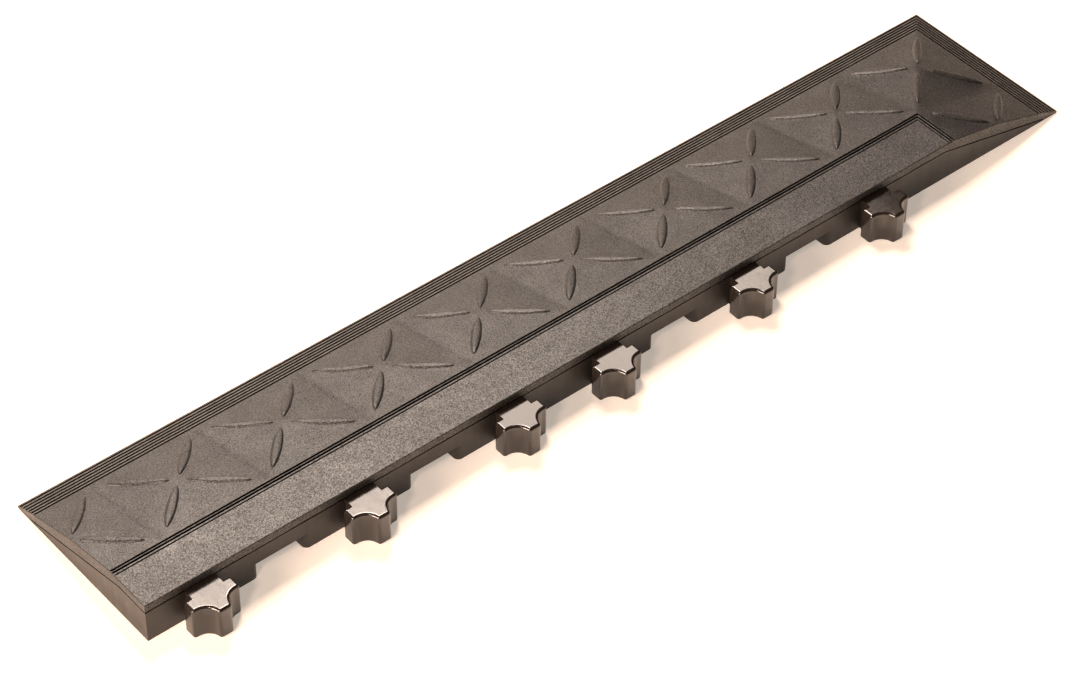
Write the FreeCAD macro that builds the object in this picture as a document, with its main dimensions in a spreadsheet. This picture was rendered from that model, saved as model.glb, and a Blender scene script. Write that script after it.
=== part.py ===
import FreeCAD
import Part
import Sketcher
import math
import os

os.makedirs("parts", exist_ok=True)

# Cable protector edge ramp: a rubber tread cover on a hollow base, with six T-shaped
# connector lugs held in the high wall. Millimetres.
#
# Building frame: x runs along the ramp from its square end, y runs from the high wall's
# face towards the long toe, z is up from the floor. The end of the ramp at high x is
# hipped: its toe turns the corner. Every piece is moved into the part's own frame last.

DRIVING = [
    ("tread_pitch", 114.3, "tread cell length along the ramp"),
    ("module_cells", 8, "tread cells in the straight part"),
    ("ramp_width", 203.2, "high wall face to toe tip"),
    ("deck_height", 44.45, "floor to flat deck"),
    ("base_height", 34.925, "floor to the joint between base and cover at the wall"),
    ("deck_width", 53.1, "high wall face to the start of the tread"),
    ("toe_band", 28.4, "width of the grooved band at the toe"),
    ("toe_inner_height", 13.2, "top of the grooved band"),
    ("toe_tip_height", 2.2, "height of the toe tip"),
    ("toe_nose", 2.2, "setback of the tip's lower edge"),
    ("cell_rise", 3.8, "height of a tread cell's apex above the slope"),
    ("bar_length", 58.5, "length of a tread bar"),
    ("bar_width", 10.6, "width of a tread bar"),
    ("bar_height", 1.8, "height of a tread bar above its ridge"),
    ("toe_grooves", 6, "grooves in the toe band"),
    ("toe_groove_width", 2.4, "width of a toe groove"),
    ("toe_groove_depth", 2.2, "depth of a toe groove"),
    ("deck_groove_width", 2.0, "width of the two deck grooves"),
    ("deck_groove_depth", 2.4, "depth of the deck grooves"),
    ("deck_groove_step", 3.1, "spacing of the deck grooves"),
    ("base_flat", 40.0, "wall face to the start of the base's slope"),
    ("base_toe", 183.0, "wall face to the base's thin edge"),
    ("base_toe_height", 1.2, "height of the base's thin edge"),
    ("base_roof", 6.0, "thickness of the base's roof"),
    ("base_wall", 14.0, "thickness of the high wall"),
    ("end_wall", 8.0, "thickness of the square end's wall"),
    ("rib_width", 6.0, "thickness of the ribs"),
    ("row_split", 71.0, "wall face to the middle of the long rib"),
    ("row_end", 130.0, "wall face to the last pocket's far side"),
    ("arch_width", 50.0, "width of an arch at the wall's foot"),
    ("arch_height", 18.0, "height of an arch"),
    ("arch_round", 6.0, "rounding of an arch's upright edges"),
    ("lug_span", 50.0, "width of a lug across its side arms"),
    ("lug_reach", 38.0, "wall face to the end of the front arm"),
    ("lug_bite", 14.0, "radius of the hollows between the arms"),
    ("lug_gap", 9.4, "gap between the wall and the side arms"),
    ("lug_neck", 31.8, "width of a lug's neck"),
    ("lug_ledge", 4.0, "flat front of a lug's side arm"),
    ("lug_edge", 2.8, "rounding of a lug's top edge"),
    ("lug_corner", 3.0, "rounding of the upright corners of a lug's arms"),
    ("root_width", 40.0, "width of a lug's root inside the wall"),
    ("root_start", 14.0, "wall face to a lug's root"),
    ("root_end", 28.0, "wall face to the far side of a lug's root"),
    ("root_floor", 7.0, "floor to the underside of a lug's root"),
    ("slot_play", 0.2, "play all round a lug in its slot"),
    ("boss_half", 34.0, "half width of the solid block round a lug"),
    ("boss_depth", 46.0, "wall face to the far side of that block"),
    ("keeper_start", 14.5, "wall face to a keeper plate"),
    ("keeper_length", 61.0, "length of a keeper plate"),
    ("keeper_width", 17.6, "width of a keeper plate"),
    ("keeper_thick", 3.0, "thickness of a keeper plate"),
    ("keeper_screw_x", 26.0, "keeper screw to lug centre"),
    ("small_shank", 2.0, "keeper screw shank radius"),
    ("small_head", 4.2, "keeper screw head radius"),
    ("small_head_height", 2.4, "keeper screw head height"),
    ("small_insert", 3.2, "keeper insert radius"),
    ("small_insert_length", 8.0, "keeper insert length"),
    ("screw_row", 27.0, "wall face to the near row of cover screws"),
    ("big_shank", 2.5, "cover screw shank radius"),
    ("big_head", 5.0, "cover screw head radius"),
    ("big_head_height", 3.0, "cover screw head height"),
    ("washer_radius", 8.0, "cover washer radius"),
    ("washer_thick", 1.2, "cover washer thickness"),
    ("big_insert", 3.5, "cover insert radius"),
    ("big_insert_length", 6.0, "cover insert length"),
    ("pad_radius", 10.0, "radius of the flat pad under a cover screw"),
    ("pad_drop", 0.4, "how far a pad stands below the sloping ceiling"),
    ("tip_back", 0.8, "how far a screw's tip stops short of its insert's end"),
    ("gap", 0.3, "gap between round faces of neighbouring pieces"),
    ("grip_start", 140.0, "wall face to the grip strip"),
    ("grip_width", 16.0, "width of a grip strip"),
    ("grip_thick", 1.5, "thickness of a grip strip"),
    ("grip_margin", 15.0, "square end to the long grip strip"),
    ("grip_split", 2.0, "space between the two grip strips"),
]

# Places along the wall, counted in tread cells from the square end.
LUG_CELLS = [0.5, 2.0, 3.5, 4.5, 6.0, 7.5]
ARCH_CELLS = [1.25, 2.75, 5.25, 6.75]

# The middle of every other pocket, past a cell's line, in cells.
POCKET_MIDDLE = 0.25

# Width and depth of each deck groove, from the tread side, as shares of the first one's.
DECK_GROOVE_SHARES = (1.0, 1.0, 0.65)

# Where a bar's middle lies on its ridge, from the cell's apex, as a share of the ridge.
BAR_MIDDLE = 0.45

doc = FreeCAD.newDocument("cable_ramp")
sheet = doc.addObject("Spreadsheet::Sheet", "Dims")
for row, (alias, value, note) in enumerate(DRIVING, start=1):
    sheet.set("A%d" % row, alias)
    sheet.set("B%d" % row, str(value))
    sheet.set("C%d" % row, note)
    sheet.setAlias("B%d" % row, alias)
doc.recompute()


class Size:
    """A length that carries both its number and its spreadsheet expression."""

    def __init__(self, value, text):
        self.value = float(value)
        self.text = text

    def __add__(self, other):
        other = as_size(other)
        return Size(self.value + other.value, "(%s + %s)" % (self.text, other.text))

    def __sub__(self, other):
        other = as_size(other)
        return Size(self.value - other.value, "(%s - %s)" % (self.text, other.text))

    def __mul__(self, other):
        other = as_size(other)
        return Size(self.value * other.value, "(%s * %s)" % (self.text, other.text))

    def __truediv__(self, other):
        other = as_size(other)
        return Size(self.value / other.value, "(%s / %s)" % (self.text, other.text))

    def __neg__(self):
        return Size(-self.value, "(0 - %s)" % self.text)

    def __radd__(self, other):
        return as_size(other) + self

    def __rsub__(self, other):
        return as_size(other) - self

    def __rmul__(self, other):
        return as_size(other) * self


def as_size(number):
    """Return number as a Size."""
    if isinstance(number, Size):
        return number
    return Size(number, "%.6g" % number)


class Sheet:
    """The driving dimensions by name."""


d = Sheet()
for alias, value, note in DRIVING:
    setattr(d, alias, Size(value, "Dims." + alias))

straight = d.tread_pitch * d.module_cells
length = straight + d.ramp_width
field = d.ramp_width - d.toe_band - d.deck_width
cell_count = int(d.module_cells.value)

# How far a cutter runs past what it cuts: a little, and well clear.
OVER = 1.0
CLEAR = 10.0

TOLERANCE = 0.01


def bind(obj, path, size):
    """Drive one property of obj from the spreadsheet."""
    size = as_size(size)
    if "Dims." in size.text:
        obj.setExpression(path, size.text)
    elif not path.startswith("Placement"):
        setattr(obj, path, size.value)


def locate(obj, x, y, z, rotation=None):
    """Place obj at x, y, z, turned by rotation."""
    x, y, z = as_size(x), as_size(y), as_size(z)
    base = FreeCAD.Vector(x.value, y.value, z.value)
    obj.Placement = FreeCAD.Placement(base, rotation or FreeCAD.Rotation())
    for axis, size in (("x", x), ("y", y), ("z", z)):
        bind(obj, "Placement.Base." + axis, size)


def box(name, low, high, rotation=None):
    """A block between two corners, each a triple of sizes."""
    obj = doc.addObject("Part::Box", name)
    for path, lo, hi in zip(("Length", "Width", "Height"), low, high):
        bind(obj, path, as_size(hi) - as_size(lo))
    locate(obj, low[0], low[1], low[2], rotation)
    return obj


def rod(name, radius, x, y, low, high):
    """An upright cylinder from z = low to z = high."""
    obj = doc.addObject("Part::Cylinder", name)
    bind(obj, "Radius", radius)
    bind(obj, "Height", as_size(high) - as_size(low))
    locate(obj, x, y, low)
    return obj


def fuse(name, shapes):
    """One solid from several."""
    obj = doc.addObject("Part::MultiFuse", name)
    obj.Shapes = shapes
    return obj


def common(name, shapes):
    """What several solids share."""
    obj = doc.addObject("Part::MultiCommon", name)
    obj.Shapes = shapes
    return obj


def cut(name, base, tool):
    """Base with tool taken away."""
    obj = doc.addObject("Part::Cut", name)
    obj.Base = base
    obj.Tool = tool
    return obj


def group(name, shapes):
    """Separate solids kept as one node."""
    obj = doc.addObject("Part::Compound", name)
    obj.Links = shapes
    return obj


def draw_outline(sketch, points, arcs=()):
    """Draw a closed outline. Side i runs from point i to the next, and arcs lists its curved sides."""
    radii = dict((side, (radius, centre)) for side, radius, centre in arcs)
    count = len(points)
    for side in range(count):
        x0, y0 = [as_size(v).value for v in points[side]]
        x1, y1 = [as_size(v).value for v in points[(side + 1) % count]]
        start = FreeCAD.Vector(x0, y0, 0)
        end = FreeCAD.Vector(x1, y1, 0)
        if side in radii:
            radius, centre = radii[side]
            middle = FreeCAD.Vector(as_size(centre[0]).value, as_size(centre[1]).value, 0)
            bulge = (start + end) * 0.5 - middle
            bulge.normalize()
            top = middle + bulge * as_size(radius).value
            sketch.addGeometry(Part.Arc(start, top, end), False)
        else:
            sketch.addGeometry(Part.LineSegment(start, end), False)
    ends = [arc_ends(sketch, side, points) for side in range(count)]
    for side in range(count):
        after = (side + 1) % count
        joint = Sketcher.Constraint("Coincident", side, ends[side][1], after, ends[after][0])
        sketch.addConstraint(joint)
    for side in range(count):
        for kind, size in zip(("DistanceX", "DistanceY"), points[side]):
            size = as_size(size)
            index = sketch.addConstraint(Sketcher.Constraint(kind, side, ends[side][0], size.value))
            if "Dims." in size.text:
                sketch.setExpression("Constraints[%d]" % index, size.text)
    for side, (radius, centre) in radii.items():
        size = as_size(radius)
        index = sketch.addConstraint(Sketcher.Constraint("Radius", side, size.value))
        sketch.setExpression("Constraints[%d]" % index, size.text)


def arc_ends(sketch, side, points):
    """The point numbers of a side's start and end, in drawing order."""
    shape = sketch.Geometry[side]
    x0, y0 = [as_size(v).value for v in points[side]]
    if (shape.StartPoint - FreeCAD.Vector(x0, y0, 0)).Length < 1e-6:
        return 1, 2
    return 2, 1


def prism(name, points, along_x, reach):
    """A profile of (distance, height) pairs drawn upright and extruded along the floor."""
    sketch = doc.addObject("Sketcher::SketchObject", name + "_profile")
    if along_x:
        turn = FreeCAD.Rotation(FreeCAD.Vector(1, 1, 1), 120)
    else:
        turn = FreeCAD.Rotation(FreeCAD.Vector(1, 0, 0), 90)
    sketch.Placement = FreeCAD.Placement(FreeCAD.Vector(0, 0, 0), turn)
    draw_outline(sketch, points)
    obj = doc.addObject("Part::Extrusion", name)
    obj.Base = sketch
    obj.DirMode = "Custom"
    obj.Dir = FreeCAD.Vector(1, 0, 0) if along_x else FreeCAD.Vector(0, 1, 0)
    obj.Solid = True
    bind(obj, "LengthFwd", reach)
    return obj


def hipped(name, profile):
    """Two prisms under one ramp profile, for the long run and the short one.

    What they share is a ramp that turns the corner. profile lists (distance from the high
    side, height) pairs."""
    shift = length - d.ramp_width
    turned = [(shift + u, z) if as_size(u).value > 0 else (as_size(0), z) for u, z in profile]
    long_side = prism(name + "_long", profile, True, length)
    short_side = prism(name + "_short", turned, False, d.ramp_width)
    return long_side, short_side


SLOPE = math.atan2(d.deck_height.value - d.toe_inner_height.value, field.value)
TOE_SLOPE = math.atan2(d.toe_inner_height.value - d.toe_tip_height.value, d.toe_band.value)
BASE_FALL = (d.base_height - d.base_toe_height) / (d.base_toe - d.base_flat)


class Run:
    """One straight run of the ramp: along it, and out from its high side."""

    def __init__(self, name, origin_x, turn):
        self.name = name
        self.origin_x = as_size(origin_x)
        self.turn = FreeCAD.Rotation(FreeCAD.Vector(0, 0, 1), turn)
        self.turned = turn != 0

    def spot(self, along, out):
        """Floor position of a point on this run."""
        along, out = as_size(along), as_size(out)
        if self.turned:
            return self.origin_x + out, -along
        return self.origin_x + along, out

    def tilt(self, angle):
        """The run's direction, tipped down towards the toe by angle."""
        tip = FreeCAD.Rotation(FreeCAD.Vector(1, 0, 0), -math.degrees(angle))
        return self.turn.multiply(tip)


LONG = Run("long", 0, 0)
SHORT = Run("short", straight, -90)


def surface_height(out):
    """Height of the cover's plain slopes at a distance from the high side."""
    out = as_size(out)
    if out.value <= d.deck_width.value:
        return d.deck_height
    inner = d.ramp_width - d.toe_band
    if out.value <= inner.value:
        fall = (d.deck_height - d.toe_inner_height) / field
        return d.deck_height - (out - d.deck_width) * fall
    fall = (d.toe_inner_height - d.toe_tip_height) / d.toe_band
    return d.toe_inner_height - (out - inner) * fall


def groove(run, name, out, width, depth, angle, start, reach):
    """A channel cut along a run, its near edge at distance out, its floor depth below the slope."""
    x, y = run.spot(start, out)
    obj = doc.addObject("Part::Box", name)
    bind(obj, "Length", reach)
    bind(obj, "Width", width)
    bind(obj, "Height", depth + CLEAR)
    drop = FreeCAD.Vector(0, 0, -as_size(depth).value)
    turn = run.tilt(angle)
    sink = turn.multVec(drop)
    base = FreeCAD.Vector(x.value, y.value, surface_height(out).value) + sink
    obj.Placement = FreeCAD.Placement(base, turn)
    return obj


def all_grooves(run, start, reach):
    """The grooves of one run: six in the toe band and three beside the deck."""
    tools = []
    pitch = d.toe_band / d.toe_grooves
    inner = d.ramp_width - d.toe_band
    for number in range(int(d.toe_grooves.value)):
        out = inner + pitch * number
        name = "toe_groove_%s_%d" % (run.name, number + 1)
        tools.append(groove(run, name, out, d.toe_groove_width, d.toe_groove_depth,
                            TOE_SLOPE, start, reach))
    first = d.deck_width - d.deck_groove_width
    for number, share in enumerate(DECK_GROOVE_SHARES):
        out = first - d.deck_groove_step * number
        name = "deck_groove_%s_%d" % (run.name, number + 1)
        tools.append(groove(run, name, out, d.deck_groove_width * share,
                            d.deck_groove_depth * share, 0, start, reach))
    return fuse("grooves_" + run.name, tools)


def cell(run, name, along, size):
    """A low four-sided pyramid standing on the slope, its apex over the cell's middle."""
    middle = d.deck_width + field / 2
    x, y = run.spot(along, middle)
    obj = doc.addObject("Part::Wedge", name)
    half_along = as_size(size).value / 2
    half_out = field.value / 2 / math.cos(SLOPE)
    obj.Xmin, obj.Xmax = -half_along, half_along
    obj.Zmin, obj.Zmax = -half_out, half_out
    obj.Ymin, obj.Ymax = 0, d.cell_rise.value * math.cos(SLOPE)
    obj.X2min, obj.X2max = 0, 0
    obj.Z2min, obj.Z2max = 0, 0
    tip = FreeCAD.Rotation(FreeCAD.Vector(1, 0, 0), 90 - math.degrees(SLOPE))
    base = FreeCAD.Vector(x.value, y.value, surface_height(middle).value)
    obj.Placement = FreeCAD.Placement(base, run.turn.multiply(tip))
    return obj


def bar(name, apex, corner):
    """A tread bar: a flattened ellipsoid lying on the ridge from a cell's apex to its corner."""
    ridge = corner - apex
    reach = ridge.Length
    ridge.normalize()
    side = FreeCAD.Vector(0, 0, 1).cross(ridge)
    side.normalize()
    up = ridge.cross(side)
    middle = apex + ridge * (reach * BAR_MIDDLE)
    obj = doc.addObject("Part::Ellipsoid", name)
    bind(obj, "Radius1", d.bar_height)
    bind(obj, "Radius2", d.bar_length / 2)
    bind(obj, "Radius3", d.bar_width / 2)
    turn = FreeCAD.Rotation(ridge, side, up, "ZXY")
    obj.Placement = FreeCAD.Placement(middle, turn)
    return obj


def cell_points(run, along, size):
    """Apex and four corners of a cell, as points in the building frame."""
    middle = d.deck_width + field / 2
    half = as_size(size).value / 2
    x, y = run.spot(along, middle)
    apex = FreeCAD.Vector(x.value, y.value, surface_height(middle).value + d.cell_rise.value)
    corners = {}
    for a in (-1, 1):
        for o, out in ((-1, d.deck_width), (1, d.ramp_width - d.toe_band)):
            cx, cy = run.spot(as_size(along) + a * half, out)
            corners[(a, o)] = FreeCAD.Vector(cx.value, cy.value, surface_height(out).value)
    return apex, corners


def tread_bars():
    """Every bar of the tread: four to a cell, two in each half cell and four round the corner."""
    bars = []
    pitch = d.tread_pitch
    for number in range(cell_count + 1):
        apex, corners = cell_points(LONG, pitch * number, pitch)
        for (a, o), corner in corners.items():
            if number > 0 or a > 0:
                bars.append(bar("bar_long_%d_%d_%d" % (number, a, o), apex, corner))
    apex, corners = cell_points(LONG, straight + d.deck_width + field / 2, field)
    for (a, o), corner in corners.items():
        if (a, o) == (1, -1):
            corner.z = d.toe_inner_height.value
        bars.append(bar("bar_hip_%d_%d" % (a, o), apex, corner))
    apex, corners = cell_points(SHORT, 0, pitch)
    for (a, o), corner in corners.items():
        if a < 0:
            bars.append(bar("bar_short_%d" % o, apex, corner))
    return bars


def cover_top():
    """The cover's outside down to the floor: slopes, cells, grooves and bars."""
    profile = [(0, 0), (0, d.deck_height), (d.deck_width, d.deck_height),
               (d.ramp_width - d.toe_band, d.toe_inner_height),
               (d.ramp_width, d.toe_tip_height), (d.ramp_width - d.toe_nose, 0)]
    long_side, short_side = hipped("cover_slope", profile)
    pitch = d.tread_pitch
    hip_middle = straight + d.deck_width + field / 2
    long_cells = [cell(LONG, "cell_%d" % n, pitch * n, pitch) for n in range(cell_count + 1)]
    long_cells.append(cell(LONG, "cell_hip_long", hip_middle, field))
    short_cells = [cell(SHORT, "cell_hip_short", -(d.deck_width + field / 2), field),
                   cell(SHORT, "cell_end", 0, pitch)]
    sides = []
    for run, side, cells, start, reach in (
            (LONG, long_side, long_cells, -OVER, length + 2 * OVER),
            (SHORT, short_side, short_cells, -(d.ramp_width + OVER), d.ramp_width + 2 * OVER)):
        raised = fuse("raised_" + run.name, [side] + cells)
        sides.append(cut("grooved_" + run.name, raised, all_grooves(run, start, reach)))
    slopes = common("cover_slopes", sides)
    return fuse("cover_outside", [slopes] + tread_bars())


def base_outside():
    """The plain wedge of the base, without its pockets."""
    profile = [(0, 0), (0, d.base_height), (d.base_flat, d.base_height),
               (d.base_toe, d.base_toe_height), (d.base_toe, 0)]
    return common("base_wedge", list(hipped("base_slope", profile)))


def base_inside():
    """The same wedge lowered by the roof's thickness, to shape the pockets' ceilings."""
    ceiling = d.base_height - d.base_roof
    thin = d.base_flat + (ceiling + OVER) / BASE_FALL
    profile = [(0, -OVER), (0, ceiling), (d.base_flat, ceiling), (thin, -OVER)]
    return common("ceiling_wedge", list(hipped("ceiling", profile)))


def base_top(x, y):
    """Height of the base's top face over a floor point."""
    out = as_size(y)
    turned = as_size(x) - straight
    if turned.value > out.value:
        out = turned
    if out.value <= d.base_flat.value:
        return d.base_height
    return d.base_height - (out - d.base_flat) * BASE_FALL


def pockets():
    """The grid of hollows under the base, two rows deep, split by ribs."""
    half = d.tread_pitch / 2
    rows = ((d.base_wall, d.row_split - d.rib_width / 2),
            (d.row_split + d.rib_width / 2, d.row_end))
    tools = []
    for row, (near, far) in enumerate(rows):
        for column in range(2 * (cell_count + 1)):
            low = d.end_wall if column == 0 else half * column + d.rib_width / 2
            high = half * (column + 1) - d.rib_width / 2
            tools.append(box("pocket_%d_%d" % (row, column), (low, near, -OVER),
                             (high, far, d.base_height)))
    return fuse("pocket_grid", tools)


def lug_middle(number):
    """Position of a lug's middle along the wall."""
    return d.tread_pitch * LUG_CELLS[number]


def lug_blocks():
    """Solid blocks that stay round the lugs' roots."""
    blocks = []
    for number in range(len(LUG_CELLS)):
        middle = lug_middle(number)
        blocks.append(box("block_%d" % number, (middle - d.boss_half, 0, -OVER),
                          (middle + d.boss_half, d.boss_depth, d.base_height)))
    return blocks


def cover_screw_spots():
    """Where the cover screws stand, as floor points."""
    pitch = d.tread_pitch
    far = (d.row_split + d.row_end) / 2
    spots = [(pitch * place, d.screw_row) for place in ARCH_CELLS]
    spots.append((pitch * (cell_count + POCKET_MIDDLE), d.screw_row))
    spots += [(pitch * (number + POCKET_MIDDLE), far) for number in range(cell_count + 1)]
    spots.append((pitch * (cell_count + 1 - POCKET_MIDDLE), (d.base_wall + d.row_split) / 2))
    return spots


def seat_height(x, y):
    """Underside of the roof where a cover screw's washer bears."""
    top = base_top(x, y)
    if top.value >= d.base_height.value:
        return top - d.base_roof
    return top - d.base_roof - d.pad_radius * BASE_FALL - d.pad_drop


def insert_foot(x, y):
    """Lower face of the insert in the cover above a cover screw."""
    top = base_top(x, y)
    if top.value >= d.base_height.value:
        return top + d.gap
    return top + (d.big_insert + d.gap) * BASE_FALL + d.gap


def arch(number):
    """Cutter for one arch at the wall's foot, with rounded upright edges."""
    middle = d.tread_pitch * ARCH_CELLS[number]
    half = d.arch_width / 2
    wide = half + d.arch_round
    name = "arch_%d" % number
    through = box(name + "_through", (middle - half, -OVER, -OVER),
                  (middle + half, d.base_wall + OVER, d.arch_height))
    mouth = box(name + "_mouth", (middle - wide, -OVER, -OVER),
                (middle + wide, d.arch_round, d.arch_height))
    posts = [rod(name + "_post_%d" % side, d.arch_round, middle + wide * side, d.arch_round,
                 -2 * OVER, d.arch_height + OVER) for side in (-1, 1)]
    return fuse(name, [through, cut(name + "_flare", mouth, fuse(name + "_posts", posts))])


def lug_slot(number):
    """Cutter for a lug's neck, root, keeper recess and insert holes."""
    middle = lug_middle(number)
    neck = d.lug_neck / 2 + d.slot_play
    root = d.root_width / 2 + d.slot_play
    recess = d.keeper_length / 2 + d.slot_play
    near = d.root_start + d.slot_play
    name = "slot_%d" % number
    tools = [box(name + "_neck", (middle - neck, -OVER, -OVER),
                 (middle + neck, near + OVER, d.base_height + OVER)),
             box(name + "_root", (middle - root, d.root_start - d.slot_play, -OVER),
                 (middle + root, d.root_end + d.slot_play, d.base_height + OVER)),
             box(name + "_recess", (middle - recess, d.keeper_start - d.gap, -OVER),
                 (middle + recess, d.keeper_start + d.keeper_width + d.gap, d.root_floor))]
    for side in (-1, 1):
        tools.append(rod(name + "_hole_%d" % side, d.small_insert + d.gap,
                         middle + d.keeper_screw_x * side, keeper_screw_y(),
                         d.root_floor - OVER, d.root_floor + d.small_insert_length + OVER))
    return tools


def keeper_screw_y():
    """Distance of the keeper screws from the wall's face."""
    return d.keeper_start + d.keeper_width / 2


def grip_spans():
    """Corners of the two grip strips on the floor."""
    far = d.grip_start + d.grip_width
    long_strip = ((d.grip_margin, d.grip_start), (straight + d.grip_start - d.grip_split, far))
    short_strip = ((straight + d.grip_start, d.end_wall), (straight + far, far))
    return (("long", long_strip), ("short", short_strip))


def make_base():
    """The hollow base: wedge, pockets, lug blocks, screw pads, arches, slots and strip recesses."""
    ceiling = base_inside()
    hollow = common("hollow", [ceiling, cut("pockets_clear", pockets(),
                                            fuse("lug_blocks", lug_blocks()))])
    pads = []
    holes = []
    for number, (x, y) in enumerate(cover_screw_spots()):
        seat = seat_height(x, y)
        pads.append(rod("pad_%d" % number, d.pad_radius, x, y, seat, base_top(x, y)))
        holes.append(rod("screw_way_%d" % number, d.big_shank + d.gap, x, y,
                         seat - OVER, d.base_height + OVER))
    hollow = cut("hollow_with_pads", hollow, fuse("pads", pads))
    tools = [hollow, fuse("screw_ways", holes)]
    tools += [arch(number) for number in range(len(ARCH_CELLS))]
    for number in range(len(LUG_CELLS)):
        tools += lug_slot(number)
    for name, (low, high) in grip_spans():
        play = d.slot_play
        tools.append(box("grip_recess_" + name, (low[0] - play, low[1] - play, -OVER),
                         (high[0] + play, high[1] + play, d.grip_thick)))
    return cut("ramp_base_cut", base_outside(), fuse("base_tools", tools))


def make_cover():
    """The tread cover: the outside, less the base and the insert holes."""
    holes = []
    for number, (x, y) in enumerate(cover_screw_spots()):
        foot = insert_foot(x, y)
        holes.append(rod("insert_hole_%d" % number, d.big_insert + d.gap, x, y,
                         base_top(x, y) - CLEAR, foot + d.big_insert_length + d.gap))
    return cut("tread_cover_cut", cover_top(), fuse("cover_tools", [base_outside()] + holes))


def body_sketch(body, name, points, height=None, arcs=()):
    """A sketch on the body's own floor plane, lifted to a height."""
    plane = [f for f in body.Origin.OriginFeatures if f.Role == "XY_Plane"][0]
    sketch = body.newObject("Sketcher::SketchObject", name)
    sketch.AttachmentSupport = [(plane, "")]
    sketch.MapMode = "FlatFace"
    if height is not None:
        lift = FreeCAD.Vector(0, 0, as_size(height).value)
        sketch.AttachmentOffset = FreeCAD.Placement(lift, FreeCAD.Rotation())
        bind(sketch, "AttachmentOffset.Base.z", height)
    if points:
        draw_outline(sketch, points, arcs)
    return sketch


def pad(body, name, sketch, height):
    """Pad a sketch upwards."""
    obj = body.newObject("PartDesign::Pad", name)
    obj.Profile = sketch
    bind(obj, "Length", height)
    body.Tip = obj
    return obj


def lug_edges(block, wanted):
    """Names of the edges of a lug's arms, clear of its neck, whose bounds pass a test."""
    names = []
    for index, edge in enumerate(block.Shape.Edges):
        box = edge.BoundBox
        in_arms = box.YMax < -d.lug_gap.value + TOLERANCE
        on_neck = box.XLength < TOLERANCE and abs(abs(box.XMin) - d.lug_neck.value / 2) < TOLERANCE
        if in_arms and not on_neck and wanted(box):
            names.append("Edge%d" % (index + 1))
    return names


def ease(body, name, block, edges, radius):
    """Round some edges of a body's last feature."""
    eased = body.newObject("PartDesign::Fillet", name)
    eased.Base = (block, edges)
    bind(eased, "Radius", radius)
    return eased


def make_lug(number):
    """A T-shaped lug: arms with hollows between them, a neck, and a root inside the wall."""
    body = doc.addObject("PartDesign::Body", "lug_body_%d" % (number + 1))
    side = d.lug_span / 2
    neck = d.lug_neck / 2
    front = side - d.lug_bite - d.lug_ledge
    shoulder = d.lug_reach - d.lug_bite
    centre = front + d.lug_bite
    points = [(neck, d.root_start), (neck, -d.lug_gap), (side, -d.lug_gap), (side, -shoulder),
              (centre, -shoulder), (front, -d.lug_reach), (-front, -d.lug_reach),
              (-centre, -shoulder), (-side, -shoulder), (-side, -d.lug_gap),
              (-neck, -d.lug_gap), (-neck, d.root_start)]
    arcs = [(4, d.lug_bite, (centre, -d.lug_reach)), (6, d.lug_bite, (-centre, -d.lug_reach))]
    plan = body_sketch(body, "lug_plan_%d" % (number + 1), points, None, arcs)
    block = pad(body, "lug_block_%d" % (number + 1), plan, d.base_height)
    doc.recompute()
    corners = lug_edges(block, lambda box: box.ZLength > TOLERANCE)
    turned = ease(body, "lug_corner_%d" % (number + 1), block, corners, d.lug_corner)
    doc.recompute()
    top = lug_edges(turned, lambda box: abs(box.ZMin - d.base_height.value) < TOLERANCE)
    body.Tip = ease(body, "lug_edge_%d" % (number + 1), turned, top, d.lug_edge)
    half = d.root_width / 2
    root = [(-half, d.root_start), (half, d.root_start), (half, d.root_end), (-half, d.root_end)]
    plan = body_sketch(body, "root_plan_%d" % (number + 1), root, d.root_floor)
    pad(body, "root_block_%d" % (number + 1), plan, d.base_height - d.root_floor)
    return body


def make_keeper(number):
    """A steel plate with two screw holes that holds a lug's root up in its slot."""
    body = doc.addObject("PartDesign::Body", "keeper_body_%d" % (number + 1))
    half = d.keeper_length / 2
    edge = d.keeper_width / 2
    points = [(-half, -edge), (half, -edge), (half, edge), (-half, edge)]
    plan = body_sketch(body, "keeper_plan_%d" % (number + 1), points)
    pad(body, "keeper_plate_%d" % (number + 1), plan, d.keeper_thick)
    plan = body_sketch(body, "keeper_holes_%d" % (number + 1), [])
    for index, side in enumerate((-1, 1)):
        middle = d.keeper_screw_x * side
        centre = FreeCAD.Vector(middle.value, 0, 0)
        radius = d.small_shank + d.gap
        plan.addGeometry(Part.Circle(centre, FreeCAD.Vector(0, 0, 1), radius.value), False)
        for kind, size in (("DistanceX", middle), ("DistanceY", as_size(0))):
            tie = plan.addConstraint(Sketcher.Constraint(kind, index, 3, size.value))
            if kind == "DistanceX":
                plan.setExpression("Constraints[%d]" % tie, size.text)
        tie = plan.addConstraint(Sketcher.Constraint("Radius", index, radius.value))
        plan.setExpression("Constraints[%d]" % tie, radius.text)
    holes = body.newObject("PartDesign::Pocket", "keeper_drill_%d" % (number + 1))
    holes.Profile = plan
    holes.Type = 1
    holes.Reversed = True
    body.Tip = holes
    return body


def screw(name, x, y, head_low, head_height, head, shank, tip):
    """A pan-head screw standing on its head."""
    top = as_size(head_low) + head_height
    return fuse(name, [rod(name + "_head", head, x, y, head_low, top),
                       rod(name + "_shank", shank, x, y, head_low, tip)])


def tube(name, outer, inner, x, y, low, high):
    """An upright ring or sleeve."""
    return cut(name, rod(name + "_outer", outer, x, y, low, high),
               rod(name + "_bore", inner, x, y, as_size(low) - OVER, as_size(high) + OVER))


def keeper_spots():
    """Floor points of the keeper screws."""
    spots = []
    for number in range(len(LUG_CELLS)):
        for side in (-1, 1):
            spots.append((lug_middle(number) + d.keeper_screw_x * side, keeper_screw_y()))
    return spots


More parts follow.
